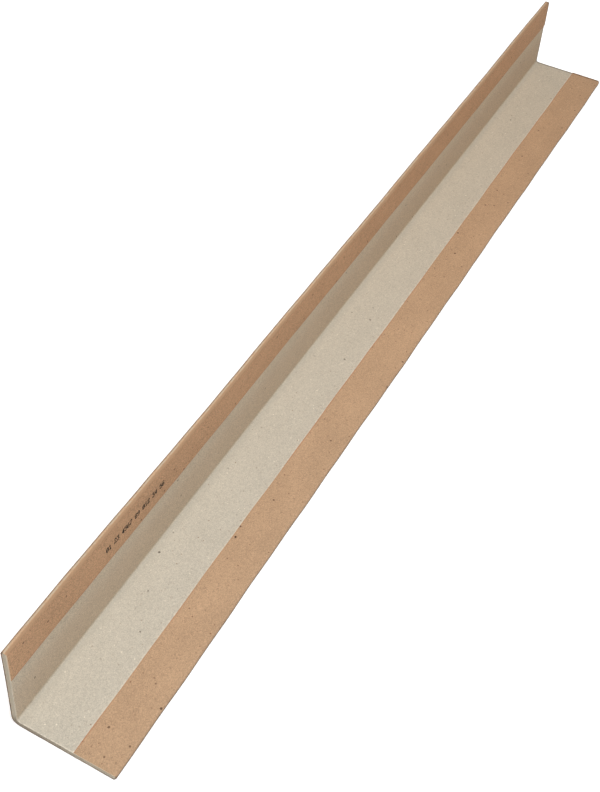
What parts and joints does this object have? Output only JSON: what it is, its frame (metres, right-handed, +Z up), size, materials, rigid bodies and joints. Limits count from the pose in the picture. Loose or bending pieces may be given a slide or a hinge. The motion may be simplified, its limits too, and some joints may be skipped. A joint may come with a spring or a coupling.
{
  "type": "pallet edge protector",
  "caption": "L-shaped paperboard edge protector: a pressed greyboard angle wrapped in kraft liner, set over the edge of a pallet load to spread strap pressure.",
  "frame": {"origin": "on the floor under the part, at the middle of its bounding box", "axes": "+X across the flat leg from the heel side to its tip, +Y along the length, +Z up along the upright leg"},
  "size_m": [0.05, 0.6, 0.05],
  "materials": {
    "greyboard": "matt recycled board with flecks",
    "kraft": "matt brown kraft liner"
  },
  "bodies": {
    "root": {"greyboard_core": "greyboard", "kraft_wrap": "kraft"}
  },
  "joints": []
}
